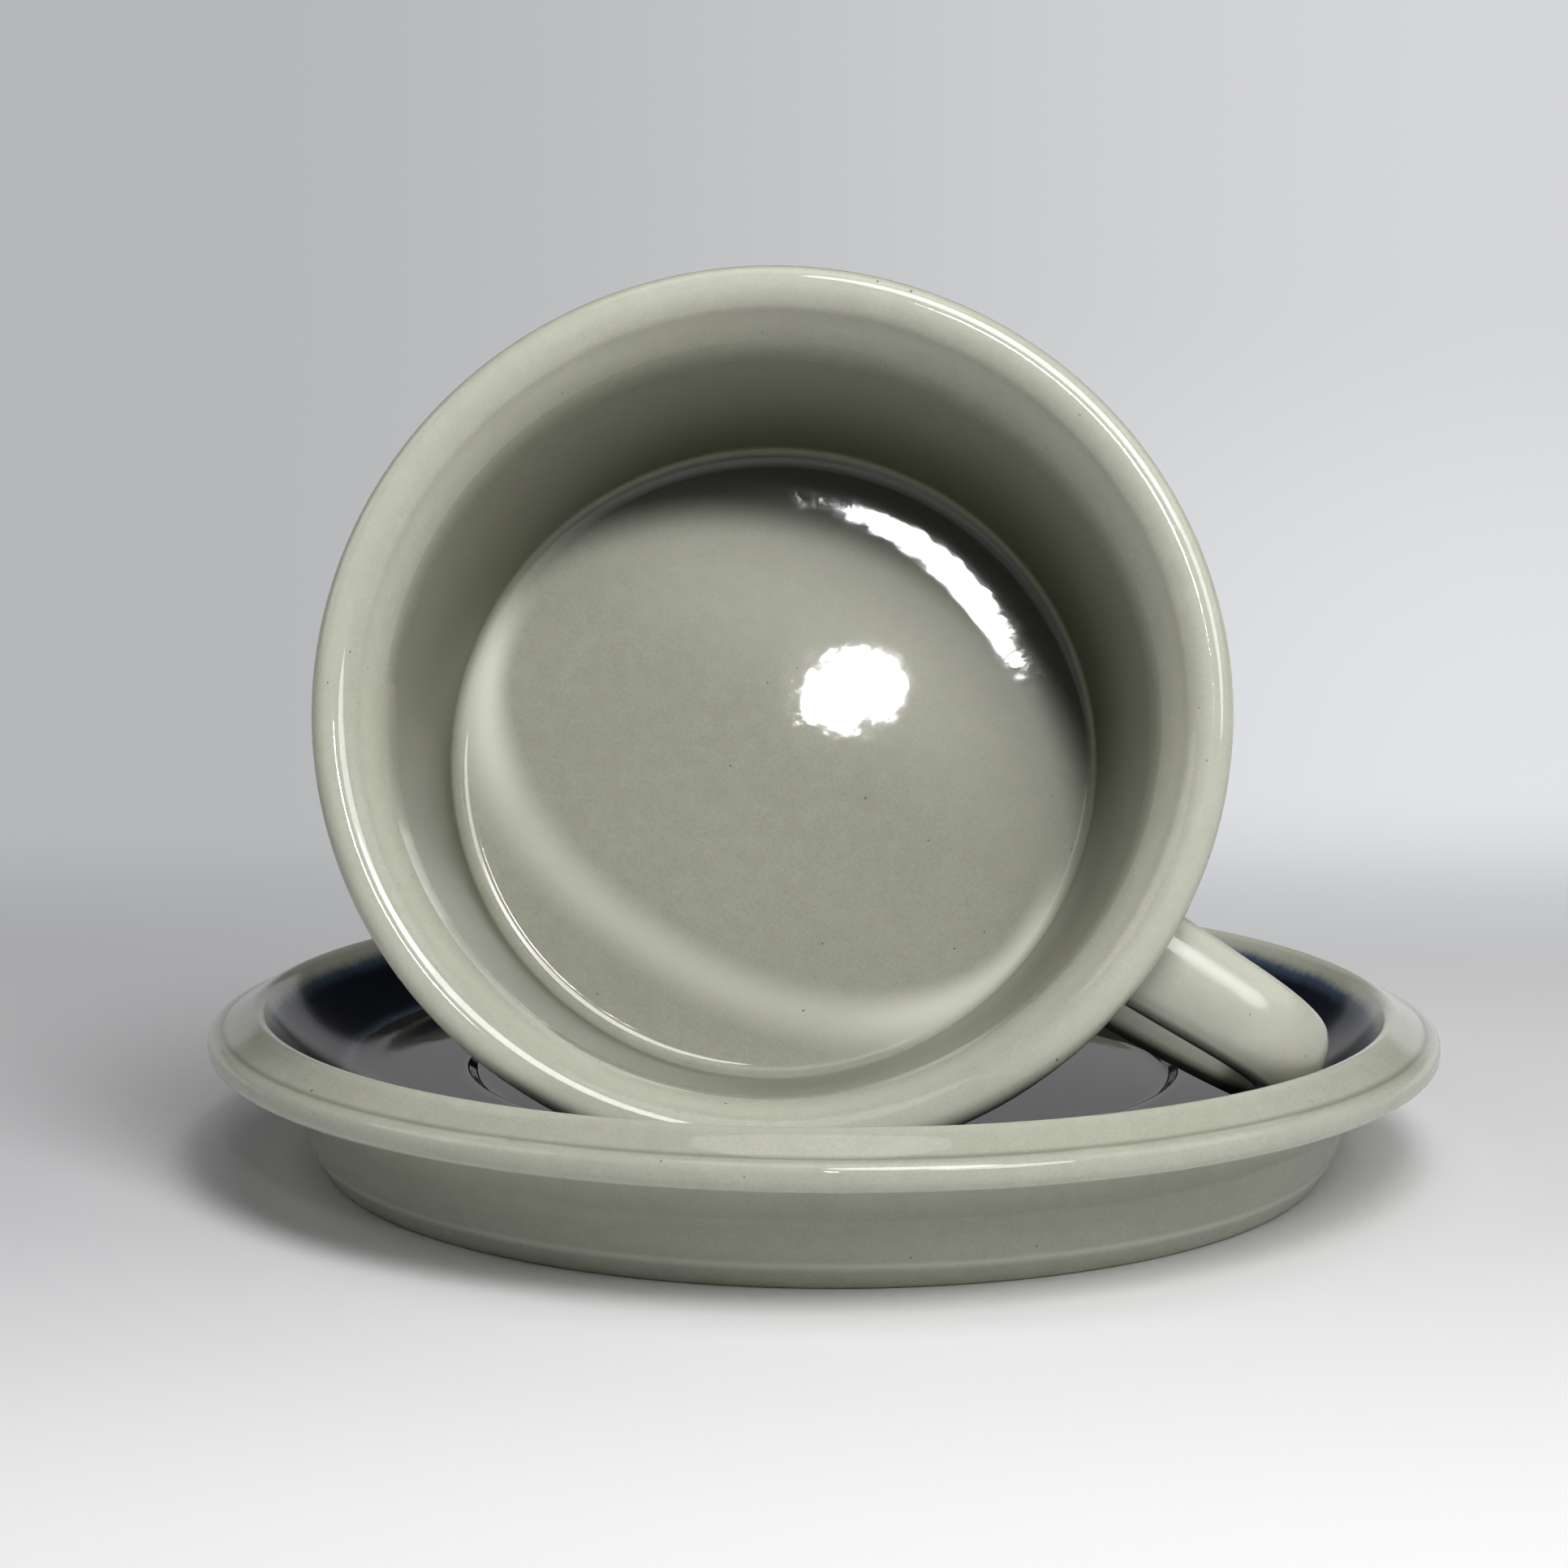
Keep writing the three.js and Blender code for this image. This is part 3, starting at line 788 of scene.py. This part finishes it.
def paper():
    """Paper that takes the object's shadow, with painted shade to the left and painted light to the
    front. Far off it shows a painted glow in pale tones, seen only directly and in reflections.
    """
    finish = Finish(bpy.data.materials.new("studio_paper"))
    x, y, z = finish.axes(finish.node("TexCoord", output="Object"))
    tone = finish.mix(x.over(*LEFT_TO_RIGHT), PAPER_LEFT, PAPER_RIGHT)
    tone = finish.mix((-y).over(*MIDDLE_TO_FRONT), tone, PAPER_FRONT)
    sheet = finish.node("BsdfPrincipled", {}, {"Base Color": tone, "Roughness": PAPER_ROUGHNESS})

    left = finish.mix(y.over(*LEFT_RISE), BACK_LEFT_LOW, BACK_LEFT)
    right = finish.mix(y.over(*RIGHT_RISE), BACK_RIGHT_LOW, BACK_RIGHT)
    right = finish.mix(z.over(*RIGHT_TOP), right, BACK_RIGHT_HIGH)
    sideways = x / (y.at_least(FAN_NEAREST) + FAN_POINT)
    back = finish.mix(sideways.over(*FAN), left, right)
    glow = finish.node("Emission", {}, {"Color": back, "Strength": 1.0})

    distance = (x * x + y * y) ** 0.5
    far_off = y.over(*FAR_BACK).at_least(distance.over(*FAR_ROUND))
    return finish.shown(finish.mix_shaders(finish.seen_directly() * far_off, sheet, glow))


def air():
    """A dim even surround that is seen as pale grey along the horizon."""
    finish = Finish(bpy.data.worlds.new("studio_air"))
    _, _, up = finish.axes(finish.node("TexCoord", output="Generated"))
    dim = finish.node("Background", {}, {"Color": AIR_LIGHT, "Strength": AIR_LIGHT_STRENGTH})
    pale = finish.node("Background", {}, {"Color": AIR_SEEN, "Strength": 1.0})
    both = finish.mix_shaders(finish.seen_directly() * up.under(*AIR_TOP), dim, pale)
    return finish.shown(both, "OutputWorld")


def add_lamp(name, azimuth, elevation, distance, width, height, brightness):
    """A flat oval lamp that points at the cup. Its power follows from how bright its face is."""
    turn, rise = radians(azimuth), radians(elevation)
    away = Vector((sin(turn) * cos(rise), -cos(turn) * cos(rise), sin(rise)))
    lamp = bpy.data.lights.new(name, "AREA")
    lamp.shape = "ELLIPSE"
    lamp.size, lamp.size_y = width, height
    lamp.energy = brightness * pi * (pi / 4 * width * height)
    holder = bpy.data.objects.new(name, lamp)
    holder.location = LAMPS_AIM + distance * away
    holder.rotation_euler = (-away).to_track_quat("-Z", "Y").to_euler()
    bpy.context.scene.collection.objects.link(holder)


def add_camera():
    """The photograph's long lens, a little above the saucer and slightly tipped down."""
    lens = bpy.data.cameras.new("camera")
    lens.lens = LENS
    lens.sensor_width = FILM_WIDTH
    lens.clip_start = NEAREST_SEEN
    camera = bpy.data.objects.new("camera", lens)
    camera.matrix_world = (
        Matrix.Translation(CAMERA_PLACE)
        @ Matrix.Rotation(CAMERA_TURN, 4, "Z")
        @ Matrix.Rotation(pi / 2 - CAMERA_DIP, 4, "X")
        @ Matrix.Rotation(CAMERA_ROLL, 4, "Z")
    )
    bpy.context.scene.collection.objects.link(camera)
    bpy.context.scene.camera = camera


stage = sweep()
stage.data.materials.append(paper())
bpy.context.scene.world = air()
for lamp in LAMPS:
    add_lamp(*lamp)
add_camera()
bpy.context.scene.view_settings.view_transform = "Standard"

bpy.context.view_layer.update()
